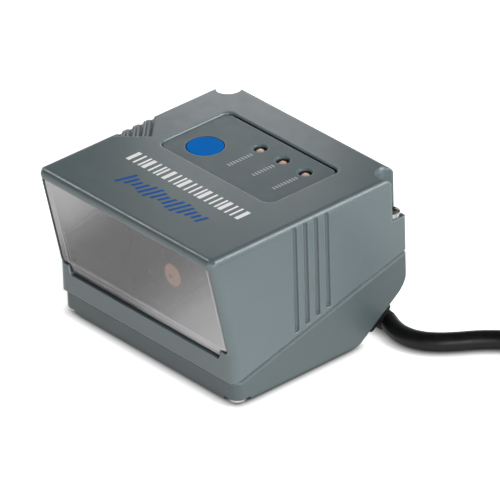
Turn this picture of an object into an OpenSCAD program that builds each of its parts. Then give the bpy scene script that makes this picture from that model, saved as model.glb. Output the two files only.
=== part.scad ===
// Compact fixed barcode reader: a two-part plastic case with a leaning scan window,
// a panel with a trigger button and three lamps, an imaging engine, and a coiled lead.
// The front (window) faces -Y, the bottom rests on z = 0, sizes are in millimetres.

/* [Housing] */
// Width of the case
body_w = 62; // [58:0.5:70]
// Length of the case, from the front of the brow to the back wall
body_l = 60; // [57:0.5:66]
// Height of the case
body_h = 41.4; // [40:0.2:46]
// Wall thickness of the cover and the base
wall = 2; // [1.6:0.1:2.4]
// Thickness of the cover's roof
roof = 3.2; // [3:0.1:4]
// Thickness of the wall that holds the window
front_wall = 5; // [4.4:0.1:5.6]
// Rounding of the long top edges
edge_r = 1.6; // [1:0.1:2.4]
// Rounding of the upright front corners
corner_r = 2.4; // [1.8:0.1:3.4]
// Rounding of the tips where the front corners meet the roof
tip_r = 1.6; // [1.2:0.1:2.4]
// Lean of the window face from upright, in degrees
front_tilt = 11.4; // [9:0.2:13]
// Height of the lip under the window
lip_z = 14; // [13:0.2:15]
// Step from the lip back to the base
lip_step = 1.1; // [0.6:0.1:1.6]

/* [Parting line] */
// Height of the parting line at the front
part_front_z = 6.4; // [5.4:0.1:7]
// Height of the parting line at the back
part_back_z = 21; // [19:0.2:22]
// Height of the shadow gap along the parting line
gap_h = 0.45; // [0.2:0.05:0.6]
// Depth of the shadow gap
gap_depth = 1.2; // [0.5:0.1:1.4]
// Bevel on the base's rim
rim = 0.5; // [0.2:0.05:0.6]

/* [Rear chamfer] */
// Distance from the back wall to the start of the chamfer on the underside
chamfer_l = 16.8; // [15:0.1:18]
// Height at which the chamfer meets the back wall
chamfer_z = 12.2; // [11:0.2:13]
// Blend radius at the foot of the chamfer
chamfer_foot_r = 8; // [5:0.5:12]
// Blend radius at the top of the chamfer
chamfer_top_r = 7.5; // [4:0.5:10]

/* [Window] */
// Frame strip beside the window
frame_strip = 1.6; // [1.4:0.1:2]
// Frame strip above the window, measured down the slope
brow_strip = 2.5; // [2:0.1:3.5]
// Thickness of the pane
pane_t = 2; // [1.5:0.1:2.4]
// Depth of the pane's face behind the frame
pane_inset = 0.45; // [0.3:0.05:0.7]
// How far the middle tab of the pane reaches below its ends
tab_drop = 2.3; // [1.5:0.1:2.6]
// Distance from the pane's side to its tab
tab_side = 3.1; // [2.4:0.1:4]
// Width of the ledge behind the pane's edge
ledge = 1; // [0.8:0.1:1.6]

/* [Grooves] */
// Number of upright grooves on each side
groove_n = 4; // [2:1:5]
// Spacing of the grooves
groove_pitch = 3.3; // [2.8:0.1:3.6]
// Radius of the grooves
groove_r = 0.7; // [0.4:0.05:0.9]
// Distance from the parting line to the foot of the grooves
groove_foot = 1.1; // [1:0.1:2]
// Distance from the middle of the case to the middle of the grooves
groove_y = 0.45; // [-2:0.05:3]

/* [Panel] */
// Width of the indicator panel's recess
panel_w = 39; // [37:0.5:41]
// Length of the recess
panel_l = 22; // [21:0.5:23]
// Distance from the back wall to the recess
panel_back = 10; // [8:0.1:11]
// Corner radius of the recess
panel_r = 2; // [1:0.1:3]
// Depth of the panel below the roof
panel_drop = 0.4; // [0.3:0.1:1]
// Bevel round the recess
panel_edge = 0.4; // [0.2:0.05:0.8]
// Width of the open slot along the panel's back edge
panel_slot = 0.6; // [0.3:0.1:0.9]
// Thickness of the panel
panel_t = 1.2; // [1:0.1:1.4]
// Diameter of the trigger button
button_d = 9; // [8:0.1:10]
// Travel of the trigger button
button_travel = 0.4; // [0.2:0.05:0.5]
// Diameter of the lamp holes
lamp_hole_d = 3.2; // [2.8:0.1:3.6]
// Spacing of the lamps
lamp_pitch = 7.9; // [7:0.1:8.2]

/* [Case screws] */
// Distance of the screw axes from the walls
screw_in = 2.4; // [2.2:0.05:2.8]
// Screw thread diameter
screw_d = 2.5; // [2:0.1:2.6]
// Screw head diameter
head_d = 4.2; // [3.8:0.1:4.4]
// Height of the ledges in the back corners
notch_z = 30; // [28:0.2:32]
// Radius of the back corner notches
notch_r = 3; // [2.8:0.1:3.4]

/* [Engine] */
// Height of the lens axis
lens_z = 19.6; // [18:0.2:21]
// Distance of the engine behind the window face at the lens axis
engine_back = 12; // [11:0.1:13]
// Diameter of the lens
lens_d = 6; // [5:0.1:6.5]

/* [Mounting] */
// Spacing of the threaded inserts in the underside
mount_pitch = 38; // [34:0.5:42]
// Thread bore of the inserts
insert_bore = 2.5; // [2.3:0.1:3]

/* [Cable] */
// Diameter of the cable
cable_d = 4.5; // [4:0.1:5]

/* [Hidden] */
$fn = 64;
big = 200;
eps = 0.01;
fit = 0.15;

// Case outline
half_w = body_w / 2;
back_y = body_l / 2;
brow_y = -body_l / 2 - edge_r * (tan(front_tilt) + 1 / cos(front_tilt) - 1);
function front_y(z) = brow_y + (body_h - z) * tan(front_tilt);
lip_y = front_y(lip_z);
lip_bevel = 0.6;
base_front_y = lip_y + lip_step;
base_half_w = half_w;
base_back_y = back_y;
part_angle = atan((part_back_z - part_front_z) / (back_y - base_front_y));
function part_z(y) = part_front_z + (y - base_front_y) * tan(part_angle);
chamfer_y = back_y - chamfer_l;
chamfer_angle = atan(chamfer_z / (base_back_y - chamfer_y));
foot_r = 1.5;
floor_t = wall + 0.2;
back_corner_r = 0.6;
groove_drop = 0.6 * edge_r;
slot_r = groove_r + 0.2;
slot_lead = 4.6;
slot_turn = -45;
slot_out = 2;

// Window pane
pane_hw = half_w - frame_strip;
pane_top = -brow_strip;
pane_foot = -(body_h - lip_z) / cos(front_tilt) + 2 * fit;
tab_hw = pane_hw - tab_side;
tab_slope = 0.8;
pane_r = 1;
pane_bevel = 0.3;
seal_t = 0.3;

// Panel and what lies under it
panel_y = back_y - panel_back - panel_l / 2;
panel_top = body_h - panel_drop;
panel_foot = panel_top - panel_t;
panel_ledge = 1.5;
panel_rim = 0.35;
roof_z = body_h - roof;
button_in = 8;
button_ahead = 3.7;
button_x = -panel_w / 2 + button_in;
button_y = panel_y - button_ahead;
button_gap = 0.15;
button_bevel = 0.15;
button_hole_d = button_d + 2 * button_gap;
flange_lap = 0.4;
flange_d = button_hole_d + 2 * flange_lap;
flange_t = 0.8;
flange_top = panel_foot - button_gap;
stem_d = 4;
stem_drop = 0.3;
stem_foot = flange_top - flange_t - stem_drop;
switch_clear = 0.1;
switch_top = stem_foot - button_travel - switch_clear;
switch_w = 6;
switch_plunger_d = 3.4;
switch_plunger_h = 0.6;
lamp_in = 5.5;
lamp_behind = 5;
lamp_x = panel_w / 2 - lamp_in;
lamp_y = panel_y + lamp_behind;
lamp_drop = 0.4;
lamp_clear = 0.2;
lamp_d = lamp_hole_d - 2 * lamp_clear;
board_t = 1.2;
lamp_board_drop = 5.2;
lamp_board_z = roof_z - lamp_board_drop;
lamp_board_l = 20;
post_r = 2.4;
ear_post_r = 3;
lamp_post_x = panel_w / 2 + post_r - panel_ledge + 0.6;
lamp_board_w = 2 * (lamp_post_x + post_r);

// Case screws
rear_x = half_w - screw_in;
rear_y = back_y - screw_in;
notch_rim = 0.6;
notch_wall = 1.6;
rear_screw_l = 16;
front_in = 2.4;
front_x = half_w - front_in;
front_screw_y = base_front_y + front_in;
front_head_h = 1.3;
front_head_z = 0.2;
counterbore_r = 3;
counterbore_h = front_head_z + front_head_h;
front_screw_l = 10;
pilot_clear = 0.2;
rear_head_h = 1.9;
boss_r = 3.4;

// Engine and boards
small_d = 2;
small_head_d = 3.6;
small_head_h = 1.3;
small_l = 5;
chassis_w = 29;
chassis_h = 18;
chassis_l = 10;
chassis_y = front_y(lens_z) + engine_back;
chassis_z = lens_z - chassis_h / 2;
ear_w = 7.5;
ear_l = 8;
ear_t = 2.5;
ear_r = 1.5;
ear_x = chassis_w / 2 + ear_w / 2;
ear_y = chassis_y + chassis_l / 2;
barrel_d = lens_d + 3;
barrel_bore = lens_d - 1;
barrel_l = 7.5;
barrel_out = 0.5;
barrel_y = chassis_y - barrel_out;
lens_t = 2.2;
lens_out = 0.7;
lens_seat_y = barrel_y - lens_out;
sensor_board_y = chassis_y + chassis_l;
sensor_board_w = 22;
sensor_board_h = 16;
sensor_w = 11;
sensor_h = 10;
sensor_t = 1.1;
light_board_t = 1;
light_x = 11.2;
light_z = 4.5;
light_r = 1.6;
aimer_d = 4;
aimer_x = 7.2;
aimer_z = 5.8;
aimer_l = 5;
aimer_out = 0.6;
aimer_dip = 1;
main_board_y = sensor_board_y + board_t + 1.4;
main_board_w = 34;
main_lift = 4;
main_board_z = floor_t + main_lift;
main_board_t = 1.6;
main_board_r = 1;
main_top = main_board_z + main_board_t;
board_clear = 2.9;
floor_end_y = chamfer_y + (cos(chamfer_angle) * floor_t - wall) / sin(chamfer_angle);
main_board_l = floor_end_y + main_lift / tan(chamfer_angle) - board_clear - main_board_y;
main_hole_in = 2.6;
main_post_x = main_board_w / 2 - main_hole_in;
main_post_y = main_board_l / 2 - main_hole_in;
main_mid_y = main_board_y + main_board_l / 2;
flex_w = 8;
flex_t = 0.3;
flex_r = 2.4;
socket_h = 1.6;
socket_l = 2.4;
socket_side = 1;
flex_drop = 2;
chip_in = 0.6;
head_clear = 0.3;
head_edge_x = main_post_x - small_head_d / 2 - head_clear;
processor_w = main_board_l / 2;
processor_t = 1.2;
processor_x = 0;
memory_w = 5;
memory_t = 1;
memory_x = processor_x + processor_w / 2 + memory_w / 2 + chip_in;
beeper_d = 7;
beeper_h = 4.2;
beeper_x = beeper_d / 2 - head_edge_x;
connector_w = 3.8;
connector_l = 2.8;
connector_h = 2.4;
connector_x = head_edge_x - connector_w / 2;
beeper_hole_d = 1.8;
beeper_hole_h = 1;

// Mounting inserts
insert_d = 4.6;
insert_l = 4.5;
insert_boss_r = 4;
insert_boss_h = 5.6;
insert_y = ear_y + ear_l / 2 + insert_boss_r + 0.4;

// Strain relief on the rear chamfer: the outlet axis is square to the chamfer
outlet_in = 5.5;
outlet_x = half_w - outlet_in;
outlet_along = 11;
outlet_y = chamfer_y + outlet_along * cos(chamfer_angle);
outlet_z = outlet_along * sin(chamfer_angle);
relief_d = cable_d + 0.7;
relief_tip_d = cable_d + 0.2;
collar_w = 10;
collar_l = 8.2;
collar_r = 1;
collar_shift = 1;
collar_t = 1.5;
elbow_r = 2.9;
sleeve_l = 1.7;
relief_bore = relief_d + 0.4;
retainer_d = 6.8;
retainer_t = 1.4;
grommet_l = wall + retainer_t;

// Lead: points chosen along the floor, from the strain relief to the coil
coil_x = 140;
coil_y = 26;
coil_z = 0.5;
turns_wide = 3;
turns_high = 4;
coil_r = 25;
coil_edge_r = 2;
coil_w = turns_wide * cable_d;
coil_h = turns_high * cable_d;
cable_sides = 12;
exit_y = outlet_y + sin(chamfer_angle) * (collar_t + elbow_r);
exit_z = outlet_z - cos(chamfer_angle) * (collar_t + elbow_r);
exit_x = outlet_x + elbow_r + sleeve_l;
lead_route = [
    [exit_x, exit_y, exit_z], [33.1, 23.9, 2.5], [36.9, 23.8, 2.3], [40.7, 24.9, 2.3], [43.8, 27.1, 2.3],
    [46.5, 30.1, 2.3], [50.9, 35.9, 2.3], [56, 40.6, 2.3], [62, 43.9, 2.3], [68.5, 45.9, 2.3],
    [79, 47.7, 2.3], [91, 49.4, 2.3], [103, 51.1, 2.3], [114, 52.6, 2.4], [125, 54.2, 2.6],
    [135.9, 55.6, 2.8],
];
tail_route = [
    [165.5, 41, 16.3], [167.9, 36.3, 17.2], [169.3, 30.3, 18.8], [168.6, 24.7, 20.8], [165.6, 20, 22.2],
    [161.9, 16.1, 22.5],
];
inner_route = [
    [outlet_x, outlet_y - sin(chamfer_angle) * grommet_l, outlet_z + cos(chamfer_angle) * grommet_l],
    [25, 18.2, 11.6], [23.2, 15, 13.4], [19.4, 11.4, 13.8], [15, 8.6, 13.8], [12, 7.2, 13], [10.6, 6.6, 11.8],
    [connector_x, 6.5, main_top + connector_h + head_clear],
];
inner_end = inner_route[len(inner_route) - 1];
inner_d = 2.6;
inner_sides = 8;

// Tie and plug on the far end of the lead
tie_t = coil_z;
tie_w = 4;
tie_angle = 160;
plug_w = 15.6;
plug_h = 8;
plug_l = 28;
plug_r = 2;
plug_turn = -134;
plug_at = [161.9, 16.1, coil_z + coil_h + plug_h / 2];
plug_seat = 1;
shell_w = 12;
shell_h = 4.5;
shell_l = 18.7;
shell_t = 0.35;
tongue_h = 1.9;
tongue_in = 1;
shell_hole = 2.2;
shell_hole_x = 6.4;
shell_hole_y = 2.8;

case_grey = [0.42, 0.45, 0.46];
panel_grey = [0.38, 0.41, 0.43];
board_green = [0.1, 0.35, 0.2];
board_black = [0.1, 0.1, 0.1];
smoked = [0.2, 0.19, 0.18];
gasket_grey = [0.73, 0.72, 0.76];
black = [0.06, 0.06, 0.06];

// Geometry helpers

function unit(v) = v / norm(v);

// The two tangent points and the centre of a fillet at corner v between p and n
function fillet(p, v, n, r) =
    let (a = unit(p - v), b = unit(n - v), half = acos(a * b) / 2)
    [v + a * r / tan(half), v + b * r / tan(half), v + unit(a + b) * r / sin(half)];

// A polygon whose outward corners are rounded by true arcs; a radius of 0 keeps a corner sharp
module rounded_outline(pts, radii) {
    n = len(pts);
    corners = [for (i = [0 : n - 1]) fillet(pts[(i + n - 1) % n], pts[i], pts[(i + 1) % n], radii[i])];
    polygon([for (i = [0 : n - 1]) each radii[i] > 0 ? [corners[i][0], corners[i][1]] : [pts[i]]]);
    for (i = [0 : n - 1]) if (radii[i] > 0) intersection() {
        translate(corners[i][2]) circle(radii[i]);
        polygon([corners[i][0], pts[i], corners[i][1], corners[i][2]]);
    }
}

module rounded_rectangle(w, l, r) {
    rounded_outline([[-w / 2, -l / 2], [w / 2, -l / 2], [w / 2, l / 2], [-w / 2, l / 2]], [r, r, r, r]);
}

// Extrudes an outline drawn in (y, z) across the width
module across(w) {
    rotate([90, 0, 90]) linear_extrude(w, center = true) children();
}

// Extrudes an outline drawn in (x, z) along the length
module lengthwise(l) {
    rotate([90, 0, 0]) linear_extrude(l, center = true) children();
}

// Places an outline on the window face: x across, y up the slope from the brow, z outward
module on_window() {
    translate([0, brow_y, body_h]) rotate([90 + front_tilt, 0, 0]) children();
}

module on_parting() {
    translate([0, base_front_y, part_front_z]) rotate([part_angle, 0, 0]) children();
}

module both_sides() {
    children();
    mirror([1, 0, 0]) children();
}

// A rod along Y from y0 to y0 + l
module rod(d, y0, l, x, z) {
    translate([x, y0 + l, z]) rotate([90, 0, 0]) cylinder(d = d, h = l);
}

// A screw standing on its head's seat at the origin, the shank running down
module screw(d, d_head, h_head, l) {
    dome_r = 0.9 * d_head;
    slot_w = 0.16 * d_head;
    slot_l = 0.62 * d_head;
    slot_z = 0.4 * h_head;
    difference() {
        union() {
            intersection() {
                cylinder(d = d_head, h = h_head);
                translate([0, 0, h_head - dome_r]) sphere(dome_r);
            }
            translate([0, 0, -l]) cylinder(d = d, h = l + eps);
        }
        for (a = [0, 90])
            rotate(a) translate([-slot_l / 2, -slot_w / 2, slot_z]) cube([slot_l, slot_w, h_head]);
    }
}

// A round tube swept along a list of points
module tube(path, d, sides) {
    n = len(path);
    rings = [
        for (i = [0 : n - 1])
            let (
                along = unit(path[min(i + 1, n - 1)] - path[max(i - 1, 0)]),
                side = unit(cross(along, [0, 0, 1])),
                up = cross(side, along)
            )
            for (k = [0 : sides - 1])
                path[i] + d / 2 * (cos(360 * k / sides) * side + sin(360 * k / sides) * up)
    ];
    walls = [
        for (i = [0 : n - 2]) for (k = [0 : sides - 1])
            let (a = i * sides + k, b = i * sides + (k + 1) % sides)
            [a, b, b + sides, a + sides]
    ];
    first = [for (k = [sides - 1 : -1 : 0]) k];
    last = [for (k = [0 : sides - 1]) (n - 1) * sides + k];
    polyhedron(rings, concat([first, last], walls));
}

// Case forms

// The case above the lip: side outline, top edges and front corners as three crossing extrusions
module upper_form() {
    intersection() {
        across(body_w)
            rounded_outline(
                [[lip_y, lip_z], [back_y, lip_z], [back_y, body_h], [brow_y, body_h]],
                [0, 0, edge_r, edge_r]);
        lengthwise(big)
            rounded_outline(
                [[-half_w, 0], [half_w, 0], [half_w, body_h], [-half_w, body_h]],
                [0, 0, edge_r, edge_r]);
        translate([0, brow_y, body_h]) rotate([front_tilt, 0, 0])
            translate([0, big / 2, 0]) linear_extrude(big, center = true)
                rounded_rectangle(body_w, big, corner_r);
        back_corners();
        tip_block();
        mirror([1, 0, 0]) tip_block();
    }
}

// A block drawn along the diagonal of a front corner: its leaning end follows the corner and rounds its tip
module tip_block() {
    corner_in = corner_r * (sqrt(2) - 1);
    foot = cos(45) * (half_w - front_y(0)) - corner_in;
    top = cos(45) * (half_w - brow_y) - corner_in;
    rotate(-45) lengthwise(big)
        rounded_outline([[-big, 0], [foot, 0], [top, body_h], [-big, body_h]], [0, 0, tip_r, 0]);
}

module back_corners() {
    translate([0, back_y - big / 2, -big / 2]) linear_extrude(big)
        rounded_rectangle(body_w, big, back_corner_r);
}

// The case below the lip line, reaching up into the form above it, with a bevel under the lip
module lower_form() {
    foot_z = part_z(lip_y);
    top_z = lip_z + wall;
    intersection() {
        across(body_w)
            polygon([
                [lip_y, top_z], [lip_y, foot_z + lip_bevel], [lip_y + lip_bevel, foot_z],
                [lip_y + lip_bevel, 0], [back_y, 0], [back_y, top_z],
            ]);
        translate([0, lip_y + big / 2, 0]) linear_extrude(top_z) rounded_rectangle(body_w, big, corner_r);
        back_corners();
    }
}

module cover_form() {
    intersection() {
        union() {
            upper_form();
            lower_form();
        }
        on_parting() translate([-big / 2, -big / 2, 0]) cube(big);
    }
}

module cover_cavity() {
    depth = front_wall / cos(front_tilt);
    across(body_w - 2 * wall)
        polygon([
            [front_y(roof_z) + depth, roof_z], [front_y(0) + depth, 0],
            [back_y - wall, 0], [back_y - wall, roof_z],
        ]);
}

// The pane's outline, grown or shrunk all round
module pane_outline(grow) {
    w = pane_hw + grow;
    t = tab_hw + grow;
    top = pane_top + grow;
    foot = pane_foot - grow;
    tab = pane_foot - tab_drop - grow;
    rounded_outline(
        [[-w, foot], [-t - tab_slope, foot], [-t, tab], [t, tab], [t + tab_slope, foot], [w, foot],
            [w, top], [-w, top]],
        [pane_r, 0, pane_r / 2, pane_r / 2, 0, pane_r, pane_r, pane_r]);
}

module window_seat() {
    seat = pane_inset + pane_t + seal_t;
    on_window() translate([0, 0, -seat]) linear_extrude(big) pane_outline(fit);
    on_window() translate([0, 0, -front_wall - fit]) linear_extrude(big) pane_outline(-ledge);
}

// A cutter that widens upward by its own height: the bevel round a rounded rectangle
module rim_cutter(w, l, r, bevel) {
    cut = bevel + eps;
    across(w - 2 * r) polygon([[-l / 2, 0], [l / 2, 0], [l / 2 + cut, cut], [-l / 2 - cut, cut]]);
    lengthwise(l - 2 * r) polygon([[-w / 2, 0], [w / 2, 0], [w / 2 + cut, cut], [-w / 2 - cut, cut]]);
    for (x = [-1, 1], y = [-1, 1]) translate([x * (w / 2 - r), y * (l / 2 - r), 0])
        cylinder(r1 = r, r2 = r + cut, h = cut);
}

module panel_seat() {
    translate([0, panel_y, body_h - panel_edge])
        rim_cutter(panel_w + 2 * fit, panel_l + 2 * fit, panel_r + fit, panel_edge);
    translate([panel_r - panel_w / 2, panel_y + panel_l / 2 - panel_slot, 0])
        cube([panel_w - 2 * panel_r, panel_slot + fit, body_h]);
    translate([0, panel_y, panel_foot]) linear_extrude(big)
        rounded_rectangle(panel_w + 2 * fit, panel_l + 2 * fit, panel_r + fit);
    translate([0, panel_y, 0]) linear_extrude(big)
        rounded_rectangle(panel_w - 2 * panel_ledge, panel_l - 2 * panel_ledge, panel_r);
}

// Upright grooves: closed under the top edge on the right, open over it on the left
module grooves() {
    for (i = [0 : groove_n - 1]) {
        y = groove_y + (i - (groove_n - 1) / 2) * groove_pitch;
        foot = part_z(y) + groove_foot;
        top = body_h - groove_drop;
        translate([half_w, y, foot]) cylinder(r = groove_r, h = top - foot);
        translate([-half_w, y, foot]) cylinder(r = groove_r, h = body_h);
        sound_slot(y, (i * groove_pitch + slot_lead) / 2);
    }
}

// A slot over the left edge that carries a groove on across the roof
module sound_slot(y, reach) {
    run = reach / cos(slot_turn);
    translate([-half_w, y, body_h]) rotate(slot_turn) translate([-slot_out, 0, 0])
        rotate([0, 90, 0]) cylinder(r = slot_r, h = run + slot_out);
}

// The round plan of a notch, open out to the corner of the case
module notch_plan() {
    circle(notch_r);
    square(screw_in + notch_r);
}

module notches() {
    both_sides() translate([rear_x, rear_y, 0]) {
        translate([0, 0, notch_z]) linear_extrude(body_h) notch_plan();
        translate([0, 0, body_h - notch_rim])
            cylinder(r1 = notch_r, r2 = notch_r + notch_rim + eps, h = notch_rim + eps);
        cylinder(d = screw_d + pilot_clear, h = body_h);
    }
}

module front_pilots() {
    both_sides() translate([front_x, front_screw_y, 0])
        cylinder(d = screw_d, h = counterbore_h + front_screw_l + pilot_clear);
}

module lamp_posts() {
    both_sides() translate([lamp_post_x, panel_y, lamp_board_z + board_t])
        cylinder(r = post_r, h = roof_z - lamp_board_z - board_t + eps);
}

module small_pilot(l) {
    translate([0, 0, -l - pilot_clear]) cylinder(d = small_d, h = l + pilot_clear + eps);
}

module top_cover() {
    color(case_grey) difference() {
        union() {
            difference() {
                cover_form();
                cover_cavity();
            }
            intersection() {
                cover_form();
                both_sides() translate([rear_x, rear_y, 0])
                    cylinder(r = notch_r + notch_wall, h = body_h);
            }
            lamp_posts();
        }
        window_seat();
        panel_seat();
        grooves();
        notches();
        front_pilots();
        both_sides() translate([lamp_post_x, panel_y, lamp_board_z + board_t])
            mirror([0, 0, 1]) small_pilot(small_l - board_t);
    }
}

// The base's outline in (y, z), with a bevel at the front and back of its rim
module base_outline() {
    drop = (gap_h + rim) / cos(part_angle);
    front_z = part_z(base_front_y) - drop;
    rear_z = part_z(base_back_y) - drop;
    rounded_outline(
        [
            [base_front_y, 0], [chamfer_y, 0], [base_back_y, chamfer_z], [base_back_y, rear_z],
            [base_back_y - wall, rear_z + wall], [base_back_y - wall, body_h],
            [base_front_y + wall, body_h], [base_front_y + wall, front_z + wall], [base_front_y, front_z],
        ],
        [foot_r, chamfer_foot_r, chamfer_top_r, 0, 0, 0, 0, 0, 0]);
}

// An upright block on the base's footprint, drawn in by a margin
module base_block(margin) {
    w = 2 * (base_half_w - margin);
    intersection() {
        translate([0, base_front_y + margin + big / 2, 0]) linear_extrude(body_h)
            rounded_rectangle(w, big, max(corner_r - margin, 0));
        translate([0, base_back_y - margin - big / 2, 0]) linear_extrude(body_h)
            rounded_rectangle(w, big, max(back_corner_r - margin, 0));
    }
}

// The base as a solid: the outer body up to the shadow gap, and the tongue that closes the gap inside
module base_form() {
    w = base_half_w;
    intersection() {
        across(big) base_outline();
        on_parting() lengthwise(big)
            polygon([
                [-w, -big], [w, -big], [w, -gap_h - rim], [w - rim, -gap_h], [rim - w, -gap_h],
                [-w, -gap_h - rim],
            ]);
        lengthwise(big)
            rounded_outline([[-w, 0], [w, 0], [w, body_h], [-w, body_h]], [foot_r, foot_r, 0, 0]);
        base_block(0);
    }
    intersection() {
        base_block(gap_depth);
        on_parting() translate([-big / 2, -big / 2, -gap_h - wall]) cube([big, big, gap_h + wall]);
    }
}

module base_cavity() {
    back = base_back_y - wall;
    rise = (wall + sin(chamfer_angle) * (back - chamfer_y)) / cos(chamfer_angle);
    across(2 * (base_half_w - wall))
        polygon([
            [base_front_y + wall, floor_t], [floor_end_y, floor_t], [back, rise], [back, big],
            [base_front_y + wall, big],
        ]);
}

module base_bosses() {
    both_sides() {
        translate([rear_x, rear_y, 0]) cylinder(r = boss_r, h = big);
        translate([front_x, front_screw_y, 0]) cylinder(r = boss_r, h = big);
        translate([ear_x, ear_y, 0]) cylinder(r = ear_post_r, h = chassis_z);
        translate([mount_pitch / 2, insert_y, 0]) cylinder(r = insert_boss_r, h = insert_boss_h);
        for (s = [-1, 1]) translate([main_post_x, main_mid_y + s * main_post_y, 0])
            cylinder(r = post_r, h = main_board_z);
    }
}

// Places children on the outlet, with z out along the chamfer's normal
module on_outlet() {
    translate([outlet_x, outlet_y, outlet_z]) rotate([180 + chamfer_angle, 0, 0]) children();
}

module base() {
    color(case_grey) difference() {
        union() {
            difference() {
                base_form();
                base_cavity();
            }
            intersection() {
                base_form();
                base_bosses();
            }
        }
        both_sides() {
            translate([rear_x, rear_y, notch_z - rear_screw_l - pilot_clear]) cylinder(d = screw_d, h = big);
            translate([front_x, front_screw_y, -eps]) cylinder(r = counterbore_r, h = counterbore_h + eps);
            translate([front_x, front_screw_y, 0]) cylinder(d = screw_d + pilot_clear, h = big);
            translate([mount_pitch / 2, insert_y, -eps]) cylinder(d = insert_d, h = insert_l + eps);
            translate([ear_x, ear_y, chassis_z]) small_pilot(small_l);
            for (s = [-1, 1]) translate([main_post_x, main_mid_y + s * main_post_y, main_board_z])
                small_pilot(small_l - main_board_t);
        }
        on_outlet() cylinder(d = relief_bore, h = 4 * wall, center = true);
    }
}

// Window, panel and button

module window() {
    color([0.8, 0.82, 0.85, 0.4]) on_window() {
        translate([0, 0, -pane_inset - pane_t]) linear_extrude(pane_t - pane_bevel) pane_outline(0);
        translate([0, 0, -pane_inset - pane_bevel]) linear_extrude(pane_bevel) pane_outline(-pane_bevel);
    }
}

module window_seal() {
    color(gasket_grey) on_window() translate([0, 0, -pane_inset - pane_t - seal_t]) linear_extrude(seal_t)
        difference() {
            pane_outline(0);
            pane_outline(-ledge);
        }
}

module indicator_panel() {
    color(panel_grey) difference() {
        translate([0, panel_y - panel_slot / 2, panel_foot]) linear_extrude(panel_t)
            rounded_rectangle(panel_w, panel_l - panel_slot, panel_r);
        translate([button_x, button_y, 0]) cylinder(d = button_hole_d, h = big);
        for (i = [0 : 2]) translate([lamp_x - i * lamp_pitch, lamp_y, 0]) {
            cylinder(d = lamp_hole_d, h = big);
            translate([0, 0, panel_top - panel_rim])
                cylinder(d1 = lamp_hole_d, d2 = lamp_hole_d + 2 * panel_rim, h = panel_rim + eps);
        }
    }
}

module trigger_button() {
    color([0.08, 0.39, 0.72]) translate([button_x, button_y, 0])
        rotate_extrude()
            polygon([
                [0, stem_foot], [stem_d / 2, stem_foot], [stem_d / 2, flange_top - flange_t],
                [flange_d / 2, flange_top - flange_t], [flange_d / 2, flange_top],
                [button_d / 2, flange_top], [button_d / 2, panel_top - button_bevel],
                [button_d / 2 - button_bevel, panel_top], [0, panel_top],
            ]);
}

module trigger_switch() {
    top = lamp_board_z + board_t;
    color([0.2, 0.2, 0.2]) translate([button_x, button_y, top]) {
        translate([-switch_w / 2, -switch_w / 2, 0])
            cube([switch_w, switch_w, switch_top - switch_plunger_h - top]);
        cylinder(d = switch_plunger_d, h = switch_top - top);
    }
}

module indicator_lamps() {
    foot = lamp_board_z + board_t;
    dome_z = panel_top - lamp_drop - lamp_d / 2;
    color([1, 0.85, 0.7]) for (i = [0 : 2]) translate([lamp_x - i * lamp_pitch, lamp_y, 0]) {
        translate([0, 0, foot]) cylinder(d = lamp_d, h = dome_z - foot);
        translate([0, 0, dome_z]) sphere(d = lamp_d);
    }
}

module indicator_board() {
    color(board_green) difference() {
        translate([0, panel_y, lamp_board_z]) linear_extrude(board_t)
            rounded_rectangle(lamp_board_w, lamp_board_l, panel_r);
        both_sides() translate([lamp_post_x, panel_y, 0]) cylinder(d = small_d + pilot_clear, h = big);
    }
}

// Imaging engine

module engine_chassis() {
    color(black) difference() {
        union() {
            translate([-chassis_w / 2, chassis_y, chassis_z]) cube([chassis_w, chassis_l, chassis_h]);
            both_sides() translate([ear_x, ear_y, chassis_z]) {
                linear_extrude(ear_t) rounded_rectangle(ear_w, ear_l, ear_r);
                translate([-ear_w / 2, -ear_l / 2, 0]) cube([ear_w / 2, ear_l, ear_t]);
            }
        }
        rod(barrel_d, chassis_y - eps, chassis_l + 2 * eps, 0, lens_z);
        rod(aimer_d, chassis_y - eps, chassis_l / 2, aimer_x, lens_z + aimer_z);
        translate([-sensor_w / 2 - fit, sensor_board_y - sensor_t - fit, lens_z - sensor_h / 2 - fit])
            cube([sensor_w + 2 * fit, big, sensor_h + 2 * fit]);
        both_sides() translate([ear_x, ear_y, 0]) cylinder(d = small_d + pilot_clear, h = big);
    }
}

module lens_barrel() {
    color([0.1, 0.1, 0.1]) difference() {
        rod(barrel_d, barrel_y, barrel_l, 0, lens_z);
        rod(barrel_bore, barrel_y - eps, big, 0, lens_z);
        rod(lens_d, barrel_y - eps, lens_seat_y + lens_t - barrel_y + eps, 0, lens_z);
    }
}

// A lens with two bulging faces and a short rim
module lens() {
    bulge_r = lens_d;
    sag = bulge_r - sqrt(pow(bulge_r, 2) - pow(lens_d / 2, 2));
    mid = lens_seat_y + lens_t / 2;
    color([0.75, 0.45, 0.3, 0.6]) intersection() {
        rod(lens_d, lens_seat_y, lens_t, 0, lens_z);
        translate([0, mid - lens_t / 2 + bulge_r, lens_z]) sphere(bulge_r);
        translate([0, mid + lens_t / 2 - bulge_r + sag / 2, lens_z]) sphere(bulge_r);
    }
}

module illumination_board() {
    color(board_black) difference() {
        translate([-chassis_w / 2, chassis_y - light_board_t, chassis_z])
            cube([chassis_w, light_board_t, chassis_h]);
        rod(barrel_d + 2 * fit, chassis_y - big / 2, big, 0, lens_z);
        rod(aimer_d + 2 * fit, chassis_y - big / 2, big, aimer_x, lens_z + aimer_z);
    }
}

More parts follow.
